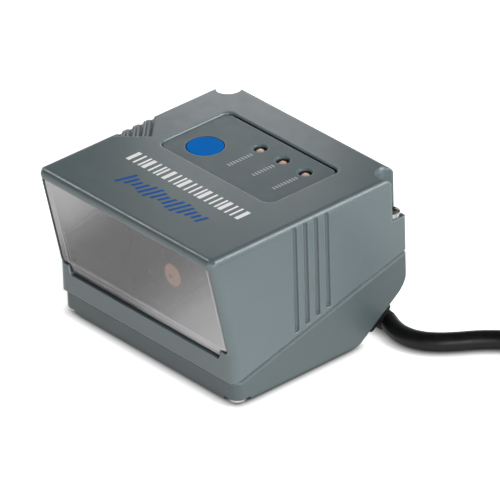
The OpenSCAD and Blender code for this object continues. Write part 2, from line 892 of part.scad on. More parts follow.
module illumination_lamps() {
    y = chassis_y - light_board_t;
    foot_l = 0.8;
    color(smoked) both_sides() for (s = [-1, 1]) {
        rod(2 * light_r, y - foot_l, foot_l, light_x, lens_z + s * light_z);
        intersection() {
            translate([light_x, y - foot_l, lens_z + s * light_z]) sphere(light_r);
            rod(2 * light_r, y - foot_l - light_r, light_r, light_x, lens_z + s * light_z);
        }
    }
}

module aimer() {
    front = chassis_y - light_board_t - aimer_out;
    color(black) difference() {
        rod(aimer_d, front, aimer_l, aimer_x, lens_z + aimer_z);
        rod(aimer_d / 2, front - eps, aimer_dip, aimer_x, lens_z + aimer_z);
    }
}

module sensor_board() {
    color(board_green) translate([-sensor_board_w / 2, sensor_board_y, lens_z - sensor_board_h / 2])
        cube([sensor_board_w, board_t, sensor_board_h]);
}

module image_sensor() {
    color([0.15, 0.15, 0.2]) translate([-sensor_w / 2, sensor_board_y - sensor_t, lens_z - sensor_h / 2])
        cube([sensor_w, sensor_t, sensor_h]);
}

// Main board

module main_board() {
    color(board_green) difference() {
        translate([0, main_mid_y, main_board_z]) linear_extrude(main_board_t)
            rounded_rectangle(main_board_w, main_board_l, main_board_r);
        both_sides() for (s = [-1, 1]) translate([main_post_x, main_mid_y + s * main_post_y, 0])
            cylinder(d = small_d + pilot_clear, h = big);
    }
}

// Places children on the main board, against its back edge, with y = 0 in their middle
module on_main_board(x, l) {
    translate([x, main_board_y + main_board_l - chip_in - l / 2, main_top]) children();
}

module chip(x, w, t) {
    on_main_board(x, w) translate([-w / 2, -w / 2, 0]) cube([w, w, t]);
}

module board_chips() {
    color([0.12, 0.12, 0.13]) {
        chip(processor_x, processor_w, processor_t);
        chip(memory_x, memory_w, memory_t);
    }
}

module beeper() {
    color(black) on_main_board(beeper_x, beeper_d) difference() {
        cylinder(d = beeper_d, h = beeper_h);
        translate([0, 0, beeper_h - beeper_hole_h]) cylinder(d = beeper_hole_d, h = big);
    }
}

// A flat flexible strip from the back of the sensor board down to the main board, with its two sockets
module flat_cable() {
    y0 = sensor_board_y + board_t;
    strip_y = y0 + socket_h / 2;
    strip_z = main_top + socket_h / 2;
    top_z = lens_z - flex_drop;
    socket_w = flex_w + 2 * socket_side;
    bend_y = strip_y + flex_r;
    bend_z = strip_z + flex_r;
    color([0.75, 0.7, 0.6]) {
        translate([-socket_w / 2, y0, top_z]) cube([socket_w, socket_h, socket_l]);
        translate([-socket_w / 2, bend_y, main_top]) cube([socket_w, socket_l, socket_h]);
        across(flex_w) {
            translate([strip_y - flex_t / 2, bend_z]) square([flex_t, top_z - bend_z + eps]);
            translate([bend_y - eps, strip_z - flex_t / 2]) square([2 * eps, flex_t]);
            intersection() {
                translate([bend_y, bend_z]) difference() {
                    circle(flex_r + flex_t / 2);
                    circle(flex_r - flex_t / 2);
                }
                translate([strip_y - flex_t, strip_z - flex_t]) square(flex_r + flex_t);
            }
        }
    }
}

module lead_connector() {
    color([0.9, 0.88, 0.8])
        translate([connector_x - connector_w / 2, inner_end[1] - connector_l / 2, main_top])
            cube([connector_w, connector_l, connector_h]);
}

module inner_lead() {
    color(black) tube(inner_route, inner_d, inner_sides);
}

// Fasteners

module inner_screws() {
    color([0.75, 0.75, 0.77]) both_sides() {
        translate([ear_x, ear_y, chassis_z + ear_t]) screw(small_d, small_head_d, small_head_h, small_l);
        for (s = [-1, 1]) translate([main_post_x, main_mid_y + s * main_post_y, main_top])
            screw(small_d, small_head_d, small_head_h, small_l);
        translate([lamp_post_x, panel_y, lamp_board_z]) mirror([0, 0, 1])
            screw(small_d, small_head_d, small_head_h, small_l);
    }
}

module rear_screws() {
    color([0.8, 0.8, 0.78]) both_sides() translate([rear_x, rear_y, notch_z])
        screw(screw_d, head_d, rear_head_h, rear_screw_l);
}

module front_screws() {
    color([0.8, 0.8, 0.78]) both_sides() translate([front_x, front_screw_y, counterbore_h])
        mirror([0, 0, 1]) screw(screw_d, head_d, front_head_h, front_screw_l);
}

module mounting_inserts() {
    color([0.78, 0.62, 0.3]) both_sides() translate([mount_pitch / 2, insert_y, 0]) difference() {
        cylinder(d = insert_d, h = insert_l);
        translate([0, 0, -eps]) cylinder(d = insert_bore, h = big);
    }
}

// Lead

// A grommet through the chamfer wall, a collar outside, and an elbow that turns the lead sideways
module strain_relief() {
    color(black) on_outlet() {
        translate([0, 0, -grommet_l]) cylinder(d = relief_d, h = grommet_l + collar_t);
        translate([0, 0, -grommet_l]) cylinder(d = retainer_d, h = retainer_t);
        translate([0, collar_shift, 0]) linear_extrude(collar_t)
            rounded_rectangle(collar_w, collar_l, collar_r);
        translate([elbow_r, 0, collar_t]) rotate([90, 0, 0]) rotate(90) rotate_extrude(angle = 90)
            translate([elbow_r, 0]) circle(d = relief_d);
        translate([elbow_r, 0, collar_t + elbow_r]) rotate([0, 90, 0])
            cylinder(d1 = relief_d, d2 = relief_tip_d, h = sleeve_l);
    }
}

module cable() {
    color(black) tube(lead_route, cable_d, cable_sides);
}

module cable_tail() {
    color(black) tube(tail_route, cable_d, cable_sides);
}

module cable_coil() {
    color(black) translate([coil_x, coil_y, coil_z + coil_h / 2]) rotate_extrude()
        translate([coil_r, 0]) rounded_rectangle(coil_w, coil_h, coil_edge_r);
}

module cable_tie() {
    color([0.15, 0.15, 0.16]) translate([coil_x, coil_y, coil_z + coil_h / 2]) rotate(tie_angle)
        translate([coil_r, 0, 0]) lengthwise(tie_w) difference() {
            rounded_rectangle(coil_w + 2 * tie_t, coil_h + 2 * tie_t, coil_edge_r + tie_t);
            rounded_rectangle(coil_w, coil_h, coil_edge_r);
        }
}

// Places children at the back of the plug, with x along the plug
module on_plug() {
    translate(plug_at) rotate(plug_turn) children();
}

module plug_body() {
    color(black) on_plug() difference() {
        intersection() {
            translate([0, 0, -plug_h / 2]) linear_extrude(plug_h)
                rounded_outline(
                    [[0, -plug_h / 2], [plug_l / 3, -plug_w / 2], [plug_l, -plug_w / 2],
                        [plug_l, plug_w / 2], [plug_l / 3, plug_w / 2], [0, plug_h / 2]],
                    [plug_r, plug_r, plug_r, plug_r, plug_r, plug_r]);
            rotate([90, 0, 90]) linear_extrude(plug_l) rounded_rectangle(plug_w, plug_h, plug_r);
        }
        translate([plug_l - plug_seat, -shell_w / 2, -shell_h / 2]) cube([big, shell_w, shell_h]);
    }
}

module plug_shell() {
    color([0.8, 0.8, 0.82]) on_plug() translate([plug_l - plug_seat, 0, 0]) difference() {
        translate([0, -shell_w / 2, -shell_h / 2]) cube([shell_l, shell_w, shell_h]);
        translate([plug_seat, shell_t - shell_w / 2, shell_t - shell_h / 2])
            cube([shell_l, shell_w - 2 * shell_t, shell_h - 2 * shell_t]);
        for (s = [-1, 1]) translate([shell_l - shell_hole_x, s * shell_hole_y, 0])
            linear_extrude(2 * shell_h, center = true) square(shell_hole, center = true);
    }
}

module plug_tongue() {
    color([0.9, 0.9, 0.9]) on_plug()
        translate([plug_l, shell_t - shell_w / 2, shell_h / 2 - shell_t - tongue_h])
            cube([shell_l - plug_seat - tongue_in, shell_w - 2 * shell_t, tongue_h]);
}

top_cover();
base();
window();
window_seal();
indicator_panel();
trigger_button();
indicator_lamps();
indicator_board();
trigger_switch();
engine_chassis();
lens_barrel();
lens();
illumination_board();
illumination_lamps();
aimer();
sensor_board();
image_sensor();
main_board();
board_chips();
beeper();
flat_cable();
lead_connector();
inner_lead();
inner_screws();
rear_screws();
front_screws();
mounting_inserts();
strain_relief();
cable();
cable_coil();
cable_tail();
cable_tie();
plug_body();
plug_shell();
plug_tongue();
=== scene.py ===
"""Looks of a compact fixed barcode reader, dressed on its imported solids.

Everything is in metres, in the frame of the solids: X to the right, the window faces -Y, Z up.
"""
import math

import bmesh
import bpy
from mathutils import Matrix, Vector


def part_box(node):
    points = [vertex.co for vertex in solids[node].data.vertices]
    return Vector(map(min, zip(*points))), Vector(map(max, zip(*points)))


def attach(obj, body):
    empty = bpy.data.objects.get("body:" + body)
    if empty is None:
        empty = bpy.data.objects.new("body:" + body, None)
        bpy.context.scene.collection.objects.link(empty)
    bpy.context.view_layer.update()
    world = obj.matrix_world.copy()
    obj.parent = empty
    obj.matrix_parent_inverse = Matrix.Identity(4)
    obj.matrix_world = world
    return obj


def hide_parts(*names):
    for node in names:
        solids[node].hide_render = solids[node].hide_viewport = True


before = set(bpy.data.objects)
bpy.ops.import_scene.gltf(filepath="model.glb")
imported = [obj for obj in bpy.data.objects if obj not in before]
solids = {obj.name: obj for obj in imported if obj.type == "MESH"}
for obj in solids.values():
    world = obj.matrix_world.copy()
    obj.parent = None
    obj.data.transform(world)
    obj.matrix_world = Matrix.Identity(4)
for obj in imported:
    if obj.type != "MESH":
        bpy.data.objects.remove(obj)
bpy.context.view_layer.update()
scene = bpy.context.scene
MM = 0.001

# Camera, fitted to edges of the photograph

IMAGE_PX = 500
FOCAL_PX = 7370.7
SENSOR_MM = 36
AZIMUTH, ELEVATION, ROLL = (math.radians(a) for a in (49.531, 30.463, -1.826))
CASE_MIDDLE = Vector((0, -0.37, 22)) * MM
AIM_RIGHT, AIM_UP = 6.659 * MM, -1.8035 * MM
CAMERA_AWAY = 1726.5 * MM


def make_camera():
    back = Vector((math.sin(AZIMUTH) * math.cos(ELEVATION), -math.cos(AZIMUTH) * math.cos(ELEVATION),
                   math.sin(ELEVATION)))
    level = Vector((math.cos(AZIMUTH), math.sin(AZIMUTH), 0))
    right = Matrix.Rotation(ROLL, 3, back) @ level
    up = back.cross(right)
    data = bpy.data.cameras.new("camera")
    data.sensor_width = SENSOR_MM
    data.lens = FOCAL_PX / IMAGE_PX * SENSOR_MM
    camera = bpy.data.objects.new("camera", data)
    scene.collection.objects.link(camera)
    turn = Matrix((right, up, back)).transposed()
    aim = CASE_MIDDLE + right * AIM_RIGHT + up * AIM_UP
    camera.matrix_world = Matrix.Translation(aim + back * CAMERA_AWAY) @ turn.to_4x4()
    scene.camera = camera


make_camera()

# Lead: the route of the solids, then the turns of the coil, then the tail to the plug

LEAD_D = 4.5
LEAD_ROUTE = [
    (30.1, 24.69, 2.9), (33.1, 23.9, 2.5), (36.9, 23.8, 2.3), (40.7, 24.9, 2.3), (43.8, 27.1, 2.3),
    (46.5, 30.1, 2.3), (50.9, 35.9, 2.3), (56, 40.6, 2.3), (62, 43.9, 2.3), (68.5, 45.9, 2.3),
    (79, 47.7, 2.3), (91, 49.4, 2.3), (103, 51.1, 2.3), (114, 52.6, 2.4), (125, 54.2, 2.6),
]
TAIL_ROUTE = [
    (167.9, 36.3, 17.2), (169.3, 30.3, 18.8), (168.6, 24.7, 20.8), (165.6, 20, 22.2), (161.9, 16.1, 22.5),
]
COIL_MIDDLE = (140, 26)
COIL_FOOT = 0.5
COIL_R = 25
TURNS_WIDE, TURNS_HIGH = 3, 4
TURN_GAP = 0.15
COIL_START = 98
COIL_TURNS = 10.19
SHIFT = 75
POINTS_PER_TURN = 16


def coil_shifts():
    """Where the lead moves to its next place in the coil: (angle, columns outward, rows up)."""
    shifts, angle = [], 0
    for row in range(TURNS_HIGH):
        outward = 1 if row % 2 else -1
        for column in range(TURNS_WIDE - 1):
            angle += 360 if column else 360 - SHIFT
            shifts.append((angle, outward, 0))
        angle += 360 - SHIFT
        shifts.append((angle, 0, 1))
    return shifts


def coil_route():
    """Points of the clockwise coil: each turn keeps its place, then eases into the next one."""
    pitch = LEAD_D + TURN_GAP
    shifts = coil_shifts()
    route = []
    steps = round(COIL_TURNS * POINTS_PER_TURN)
    for step in range(steps + 1):
        angle = 360 * COIL_TURNS * step / steps
        column, row = (TURNS_WIDE - 1) / 2, 0
        for start, outward, up in shifts:
            share = min(max((angle - start) / SHIFT, 0), 1)
            eased = (1 - math.cos(math.pi * share)) / 2
            column += outward * eased
            row += up * eased
        radius = COIL_R + column * pitch
        turned = math.radians(COIL_START - angle)
        route.append((COIL_MIDDLE[0] + radius * math.cos(turned), COIL_MIDDLE[1] + radius * math.sin(turned),
                      COIL_FOOT + (row + 0.5) * LEAD_D))
    return route


def make_lead():
    route = LEAD_ROUTE + coil_route() + TAIL_ROUTE
    data = bpy.data.curves.new("lead", "CURVE")
    data.dimensions = "3D"
    data.bevel_depth = 1.0
    data.bevel_resolution = 8
    data.resolution_u = 5
    data.use_fill_caps = True
    spline = data.splines.new("BEZIER")
    spline.bezier_points.add(len(route) - 1)
    for point, place in zip(spline.bezier_points, route):
        point.co = Vector(place) * MM
        point.radius = LEAD_D / 2 * MM
        point.handle_left_type = point.handle_right_type = "AUTO"
    lead = bpy.data.objects.new("lead", data)
    scene.collection.objects.link(lead)
    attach(lead, "reader")
    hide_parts("cable", "cable_coil", "cable_tail")
    return lead


lead = make_lead()

# Materials: each is one Principled shader fed by textures in the part's own coordinates


class Look:
    """A procedural material whose textures are sized in millimetres."""

    def __init__(self, name, values=None):
        self.material = bpy.data.materials.new(name)
        self.material.use_nodes = True
        self.tree = self.material.node_tree
        self.shader = self.tree.nodes["Principled BSDF"]
        self.place = self.add("ShaderNodeTexCoord").outputs["Object"]
        for socket, value in (values or {}).items():
            self.set(socket, value)

    def add(self, kind, inputs=None, **settings):
        node = self.tree.nodes.new(kind)
        for name, value in settings.items():
            setattr(node, name, value)
        for socket, value in (inputs or {}).items():
            if isinstance(value, bpy.types.NodeSocket):
                self.tree.links.new(value, node.inputs[socket])
            else:
                node.inputs[socket].default_value = value
        return node

    def set(self, socket, value):
        if isinstance(value, bpy.types.NodeSocket):
            self.tree.links.new(value, self.shader.inputs[socket])
        else:
            self.shader.inputs[socket].default_value = value

    def noise(self, size, detail=2, stretch=(1, 1, 1)):
        """Soft noise whose lumps are about size millimetres across."""
        place = self.add("ShaderNodeMapping", {"Vector": self.place, "Scale": [1 / s for s in stretch]})
        made = self.add("ShaderNodeTexNoise", {"Vector": place.outputs[0], "Scale": 1 / (size * MM),
                                               "Detail": detail})
        return made.outputs["Fac"]

    def wave(self, size, axis, distortion=0.0):
        """Stripes of size millimetres across an axis."""
        made = self.add("ShaderNodeTexWave", {"Vector": self.place, "Scale": math.pi / 10 / (size * MM),
                                              "Distortion": distortion}, bands_direction=axis)
        return made.outputs["Fac"]

    def spread(self, value, low, high, start=0.3, stop=0.7):
        """Spreads a texture's middle range over low to high."""
        made = self.add("ShaderNodeMapRange", {"Value": value, "From Min": start, "From Max": stop,
                                               "To Min": low, "To Max": high})
        return made.outputs[0]

    def ramp(self, direction, start, stop):
        """Rises from 0 to 1 along a direction, between two places in millimetres."""
        along = self.add("ShaderNodeVectorMath", {0: self.place, 1: direction}, operation="DOT_PRODUCT")
        made = self.add("ShaderNodeMapRange", {"Value": along.outputs["Value"], "From Min": start * MM,
                                               "From Max": stop * MM}, interpolation_type="SMOOTHSTEP")
        return made.outputs[0]

    def mix(self, share, first, second):
        made = self.add("ShaderNodeMix", {"Factor": share}, data_type="RGBA")
        for socket, value in ((made.inputs[6], first), (made.inputs[7], second)):
            if isinstance(value, bpy.types.NodeSocket):
                self.tree.links.new(value, socket)
            else:
                socket.default_value = value
        return made.outputs[2]

    def math(self, operation, first, second):
        return self.add("ShaderNodeMath", {0: first, 1: second}, operation=operation).outputs[0]

    def edges(self, radius):
        """Painted highlight: high along edges that are sharper than radius millimetres and don't face down,
        where the lamps catch them.
        """
        soft = self.add("ShaderNodeBevel", {"Radius": radius * MM}, samples=4)
        sharp = self.add("ShaderNodeNewGeometry")
        along = self.add("ShaderNodeVectorMath", {0: soft.outputs[0], 1: sharp.outputs["Normal"]},
                         operation="DOT_PRODUCT")
        turned = self.add("ShaderNodeSeparateXYZ", {0: soft.outputs[0]})
        return self.math("MULTIPLY", self.spread(along.outputs["Value"], 1, 0, 0.92, 0.998),
                         self.spread(turned.outputs["Z"], 0, 1, -0.15, 0.3))

    def painted_hollow_shade(self, reach):
        """Painted shade: high in grooves, gaps and inner corners that are up to reach millimetres deep, where
        shade falls.
        """
        opening = self.add("ShaderNodeAmbientOcclusion", {"Distance": reach * MM}, samples=8)
        return self.spread(opening.outputs["AO"], 1, 0, 0.42, 0.94)

    def bump(self, height, depth, edge=0.0):
        """Raises the surface by a texture, depth millimetres high, over edges eased by edge millimetres."""
        made = self.add("ShaderNodeBump", {"Height": height, "Distance": depth * MM})
        if edge:
            eased = self.add("ShaderNodeBevel", {"Radius": edge * MM}, samples=12)
            self.tree.links.new(eased.outputs[0], made.inputs["Normal"])
        self.set("Normal", made.outputs[0])


def srgb(red, green, blue):
    """A colour as it is read off a picture, in 0 to 255, made linear."""
    return [(c / 255 / 12.92) if c <= 10 else ((c / 255 + 0.055) / 1.055) ** 2.4
            for c in (red, green, blue)] + [1.0]


def shade(colour, factor):
    return [c * factor for c in colour[:3]] + [1.0]


# Painted shade in grooves, gaps and inner corners: its reach, share and darkness.
PAINTED_SHADE_REACH, PAINTED_SHADE_SHARE, PAINTED_SHADE_DARK = 1.6, 0.8, 0.12
# Painted highlight along upward edges: its width and share.
PAINTED_HIGHLIGHT_WIDTH, PAINTED_HIGHLIGHT_SHARE = 0.7, 0.7


def moulded(name, colour, grain, depth, rough, painted_edge_light, shine=0.4, ease=0.35):
    """Moulded plastic: faint clouds, a fine eroded grain, painted shade in grooves and gaps, and painted
    highlights on upward edges.
    """
    look = Look(name, {"Specular IOR Level": shine})
    clouds = look.spread(look.noise(11, 3), 0, 1)
    body = look.mix(clouds, shade(colour, 0.95), shade(colour, 1.05))
    speck = look.spread(look.noise(grain, 2), 0, 0.35)
    body = look.mix(speck, body, shade(colour, 0.86))
    # Painted shade: darker where shade falls in grooves, gaps and inner corners.
    painted_shade = look.math("MULTIPLY", look.painted_hollow_shade(PAINTED_SHADE_REACH), PAINTED_SHADE_SHARE)
    body = look.mix(painted_shade, body, shade(colour, PAINTED_SHADE_DARK))
    # Painted highlight: lighter along edges that face up towards the lamps.
    painted_light = look.math("MULTIPLY", look.edges(PAINTED_HIGHLIGHT_WIDTH), PAINTED_HIGHLIGHT_SHARE)
    look.set("Base Color", look.mix(painted_light, body, shade(colour, painted_edge_light)))
    look.set("Roughness", look.spread(look.noise(3, 3), rough - 0.03, rough + 0.05))
    look.bump(look.noise(grain, 2), depth, ease)
    return look.material


CASE_GREY = srgb(82, 97, 100)
BASE_GREY = srgb(78, 90, 92)
PANEL_GREY = srgb(76, 91, 95)
BUTTON_BLUE = srgb(0, 112, 202)
SOFT_BLACK = srgb(24, 24, 25)


PANE_LOW, PANE_HIGH = (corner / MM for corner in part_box("window"))
PANE_SIDES = (
    ((-1, 0, 0), -PANE_LOW.x, 2.4), ((1, 0, 0), PANE_HIGH.x, 1.1), ((0, 0, -1), -PANE_LOW.z, 3.2),
    ((0, 0, 1), PANE_HIGH.z, 0.5),
)
PANE_TILT = math.radians(11.4)
RIM_LINE = 0.35
# Painted reflection on the pane: its share, and the directions and places in millimetres where it rises.
PAINTED_REFLECTION_SHARE = 0.84
UPPER_LEFT = ((-0.648, 0, 0.762), 28, 46)
LOWER_RIGHT = ((0.68, 0, -0.733), -21, 13)


def pane_border(look, inset):
    """1 on a border along the pane's sides, drawn in towards its edge by inset millimetres."""
    border = None
    for outward, side, width in PANE_SIDES:
        part = look.ramp(outward, side - width + inset, side - width + inset + 0.12)
        border = part if border is None else look.math("MAXIMUM", border, part)
    return border


def window_look():
    """Clear pane with frosted edges, a light border whose inner line is a painted highlight, and a painted
    reflection towards its upper left and lower right.
    """
    look = Look("window_glass", {"IOR": 1.49})
    face = look.add("ShaderNodeNewGeometry").outputs["Normal"]
    outward = look.add("ShaderNodeVectorMath", {0: face, 1: (0, -math.cos(PANE_TILT), -math.sin(PANE_TILT))},
                       operation="DOT_PRODUCT").outputs["Value"]
    edge = look.spread(look.math("ABSOLUTE", outward, 0), 1, 0, 0.55, 0.8)
    # Painted reflection: the pane turns whiter and less clear towards its upper left and lower right.
    upper_left = look.math("MULTIPLY", look.ramp(*UPPER_LEFT), PAINTED_REFLECTION_SHARE)
    lower_right = look.math("MULTIPLY", look.ramp(*LOWER_RIGHT), PAINTED_REFLECTION_SHARE)
    reflection_mottle = look.spread(look.noise(14, 4, (1, 1, 2.4)), 0, 0.05)
    painted_reflection = look.math("ADD", look.math("ADD", upper_left, lower_right), reflection_mottle)
    # The border band stands for the light seal behind the pane; the thin line along its inner edge is a
    # painted highlight.
    band, inner = pane_border(look, 0), pane_border(look, RIM_LINE)
    line = look.math("SUBTRACT", band, inner)
    rim = look.math("ADD", look.math("MULTIPLY", band, 0.2), look.math("MULTIPLY", line, 0.4))
    # The painted reflection and the border together make the pane whiter and less clear.
    painted_reflection_and_border = look.math("MINIMUM", look.math("ADD", painted_reflection, rim), 0.9)
    clear = look.mix(look.spread(painted_reflection_and_border, 0, 1, 0, 0.5), srgb(146, 142, 140), srgb(210, 208, 210))
    look.set("Base Color", look.mix(edge, clear, srgb(214, 212, 222)))
    look.set("Roughness", look.math("MAXIMUM", look.spread(edge, 0, 0.55, 0, 1),
                                    look.spread(painted_reflection_and_border, 0, 0.08, 0.06, 1)))
    look.set("Transmission Weight", look.math("MINIMUM", look.spread(edge, 1, 0.2, 0, 1),
                                              look.spread(painted_reflection_and_border, 1, 0, 0, 1)))
    return look.material


def board_look(name, mask, track):
    """Solder mask over copper tracks, with tinned pads."""
    look = Look(name, {"Coat Weight": 0.3, "Coat Roughness": 0.2})
    tracks = look.math("MULTIPLY", look.wave(0.9, "X", 1.5), look.wave(1.3, "DIAGONAL", 1.0))
    body = look.mix(look.spread(tracks, 0, 1, 0.3, 0.5), mask, track)
    pads = look.spread(look.noise(2.2, 0), 0, 1, 0.72, 0.74)
    look.set("Base Color", look.mix(pads, body, srgb(150, 146, 134)))
    look.set("Metallic", pads)
    look.set("Roughness", look.spread(pads, 0.45, 0.3, 0, 1))
    look.bump(tracks, 0.03)
    return look.material


def metal(name, colour, rough, streak):
    """Turned or plated metal with fine tool marks."""
    look = Look(name, {"Metallic": 1.0})
    marks = look.noise(streak, 3, (1, 1, 8))
    look.set("Base Color", look.mix(look.spread(marks, 0, 1), shade(colour, 0.86), shade(colour, 1.05)))
    look.set("Roughness", look.spread(look.noise(0.9, 2), rough - 0.08, rough + 0.1))
    look.bump(marks, 0.006)
    return look.material


def brass_look():
    """Knurled brass of the mounting inserts."""
    look = Look("brass", {"Metallic": 1.0, "Roughness": 0.32})
    knurl = look.math("MULTIPLY", look.wave(0.5, "DIAGONAL"), look.wave(0.5, "X"))
    tarnish = look.spread(look.noise(1.4), 0, 1)
    look.set("Base Color", look.mix(tarnish, srgb(176, 138, 70), srgb(214, 178, 104)))
    look.bump(knurl, 0.05)
    return look.material


def lamp_look():
    """Milky lamp body with a warm core."""
    look = Look("lamp", {"Roughness": 0.25, "Subsurface Weight": 0.3, "Subsurface Scale": 0.6 * MM})
    warm = look.spread(look.noise(1.6, 1), 0, 1)
    look.set("Base Color", look.mix(warm, srgb(222, 172, 142), srgb(250, 224, 204)))
    look.bump(look.noise(0.5, 1), 0.02)
    return look.material


def light_look():
    """Smoked caps over the lamps that light the target."""
    look = Look("light", {"Roughness": 0.15, "Coat Weight": 0.5})
    smoke = look.spread(look.noise(1.1, 1), 0, 1)
    look.set("Base Color", look.mix(smoke, srgb(44, 40, 38), srgb(66, 62, 60)))
    look.bump(look.noise(0.4, 1), 0.01)
    return look.material


def lens_look():
    """Coated glass with painted light: an emitted warm light standing for the coating's reflection, darker
    near the rim, round a painted dark centre.
    """
    # Painted light: the lens emits its warm colour, though it is no lamp.
    look = Look("lens_glass", {"IOR": 1.52, "Coat Weight": 1.0, "Coat Roughness": 0.02,
                               "Emission Strength": 0.7})
    low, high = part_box("lens")
    radial = look.add("ShaderNodeVectorMath", {0: look.place, 1: (low + high) / 2}, operation="SUBTRACT")
    flat = look.add("ShaderNodeVectorMath", {0: radial.outputs[0], 1: (1, 0, 1)}, operation="MULTIPLY")
    away = look.add("ShaderNodeVectorMath", {0: flat.outputs[0]}, operation="LENGTH").outputs["Value"]
    # Painted shade: a dark centre where the lens shows the unlit inside.
    painted_pupil = look.spread(away, 1, 0, 0.35 * MM, 0.8 * MM)
    rim = look.spread(away, 0, 1, 2.3 * MM, 2.9 * MM)
    painted_glow = look.mix(look.spread(look.noise(2.6, 1), 0, 1), srgb(226, 158, 124), srgb(250, 204, 178))
    painted_glow = look.mix(painted_pupil, look.mix(rim, painted_glow, srgb(196, 132, 104)), srgb(128, 84, 66))
    look.set("Base Color", painted_glow)
    look.set("Emission Color", painted_glow)
    look.set("Roughness", look.spread(look.noise(0.8), 0.05, 0.14))
    return look.material


def flat_cable_look():
    """Pale film over a row of flat conductors."""
    look = Look("flat_cable", {"Roughness": 0.4})
    lines = look.wave(1.0, "X")
    stripes = look.spread(lines, 0, 1, 0.4, 0.6)
    look.set("Base Color", look.mix(stripes, srgb(206, 196, 172), srgb(176, 150, 110)))
    look.bump(lines, 0.04)
    return look.material


def strap_look():
    """Woven hook-and-loop strap."""
    look = Look("strap", {"Roughness": 0.85, "Sheen Weight": 0.4})
    weave = look.math("MULTIPLY", look.wave(0.5, "Z", 0.6), look.wave(0.6, "X", 0.6))
    look.set("Base Color", look.mix(look.spread(weave, 0, 1, 0.1, 0.6), srgb(22, 22, 23), srgb(56, 56, 58)))
    look.bump(weave, 0.12)
    return look.material


def ink_look(name, colour):
    """Pad-printed ink, a little thin in places."""
    look = Look(name, {"Specular IOR Level": 0.1})
    thin = look.spread(look.noise(0.5, 3), 0, 1)
    look.set("Base Color", look.mix(thin, shade(colour, 0.96), shade(colour, 1.0)))
    look.set("Roughness", look.spread(look.noise(1.5), 0.38, 0.5))
    look.bump(look.noise(0.25, 1), 0.006)
    return look.material


def cable_look():
    """Black jacket with a satin skin, faint extrusion streaks and dust."""
    look = Look("cable", {"Specular IOR Level": 0.25})
    dust = look.spread(look.noise(2.4, 4), 0, 1, 0.45, 0.8)
    look.set("Base Color", look.mix(dust, srgb(9, 9, 9), srgb(20, 20, 20)))
    look.set("Roughness", look.spread(look.noise(1.2, 3), 0.34, 0.46))
    look.bump(look.noise(0.5, 3), 0.02)
    return look.material


case = moulded("case", CASE_GREY,
               grain=0.35, depth=0.008, rough=0.33, painted_edge_light=2.3, shine=0.9, ease=0.5)
base = moulded("base", BASE_GREY,
               grain=0.35, depth=0.008, rough=0.34, painted_edge_light=3.2, shine=0.5, ease=0.5)
panel = moulded("panel", PANEL_GREY, grain=0.28, depth=0.006, rough=0.38, painted_edge_light=2.8)
button = moulded("button", BUTTON_BLUE, grain=0.3, depth=0.006, rough=0.5, painted_edge_light=1.15, shine=0.02)
black_plastic = moulded("black_plastic", SOFT_BLACK, grain=0.4, depth=0.02, rough=0.55, painted_edge_light=1.6)
rubber = moulded("rubber", srgb(12, 12, 12), grain=0.5, depth=0.03, rough=0.6, painted_edge_light=1.5, shine=0.2)
gasket = moulded("gasket", srgb(176, 174, 184), grain=0.5, depth=0.02, rough=0.55, painted_edge_light=1.1)
chip = moulded("chip", srgb(36, 36, 38), grain=0.2, depth=0.01, rough=0.5, painted_edge_light=1.4)
nylon = moulded("nylon", srgb(222, 216, 200), grain=0.4, depth=0.01, rough=0.42, painted_edge_light=1.1)
board = board_look("board", srgb(14, 66, 40), srgb(30, 98, 60))
dark_board = board_look("dark_board", srgb(26, 26, 27), srgb(36, 36, 37))
steel = metal("steel", srgb(188, 190, 188), 0.26, 0.4)
bright_metal = metal("plug_metal", srgb(206, 207, 210), 0.2, 0.7)
cable_jacket = cable_look()

LOOKS = {
    "top_cover": case, "base": base, "window": window_look(), "window_seal": gasket,
    "indicator_panel": panel, "trigger_button": button, "indicator_lamps": lamp_look(),
    "indicator_board": board, "trigger_switch": black_plastic, "engine_chassis": black_plastic,
    "lens_barrel": black_plastic, "lens": lens_look(), "illumination_board": dark_board,
    "illumination_lamps": light_look(), "aimer": black_plastic,
    "sensor_board": board, "image_sensor": chip, "main_board": board, "board_chips": chip,
    "beeper": black_plastic, "flat_cable": flat_cable_look(), "lead_connector": nylon,
    "inner_lead": cable_jacket, "inner_screws": steel, "rear_screws": steel, "front_screws": steel,
    "mounting_inserts": brass_look(), "strain_relief": rubber, "cable_tie": strap_look(),
    "plug_body": black_plastic, "plug_shell": bright_metal, "plug_tongue": nylon,
}


def dress(obj, material):
    obj.data.materials.clear()
    obj.data.materials.append(material)


for name, material in LOOKS.items():
    dress(solids[name], material)
dress(lead, cable_jacket)

# Printed marks: plain bars and ticks where the roof and the panel carry print

ROOF_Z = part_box("top_cover")[1].z / MM
PANEL_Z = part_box("indicator_panel")[1].z / MM
INK_T = 0.03
INK_SINK = 0.02

BAR_MODULE = 0.6
BAR_X, BAR_Y = -19.6, (-12.3, -8.1)
BAR_RUNS = (2, 2, 1, 2, 1, 1, 2, 2, 1, 2, 1, 1, 1, 2, 2, 2, 1, 2, 1, 1, 2, 2, 1, 2, 1, 2, 1, 1, 2, 2, 1, 2, 1,
            2, 1, 1, 2, 2, 1, 2, 1, 2, 2)

WAVE_X, WAVE_Y = -12.8, -18.2
WAVE_PITCH, WAVE_BAR, WAVE_SLANT = 1.9, 0.85, 0.3
WAVE_HEIGHTS = (5.4, 3.6, 2.6, 3.4, 4.6, 5.2, 4.0, 2.8, 3.6, 4.8, 5.4, 4.2, 3.0, 2.4, 3.2)

TICK_ROWS = ((-0.9, 10.3, 9), (6.6, 10.5, 8), (14.6, 10.6, 9))
TICK_PITCH, TICK_W, TICK_H = 0.86, 0.45, 1.2


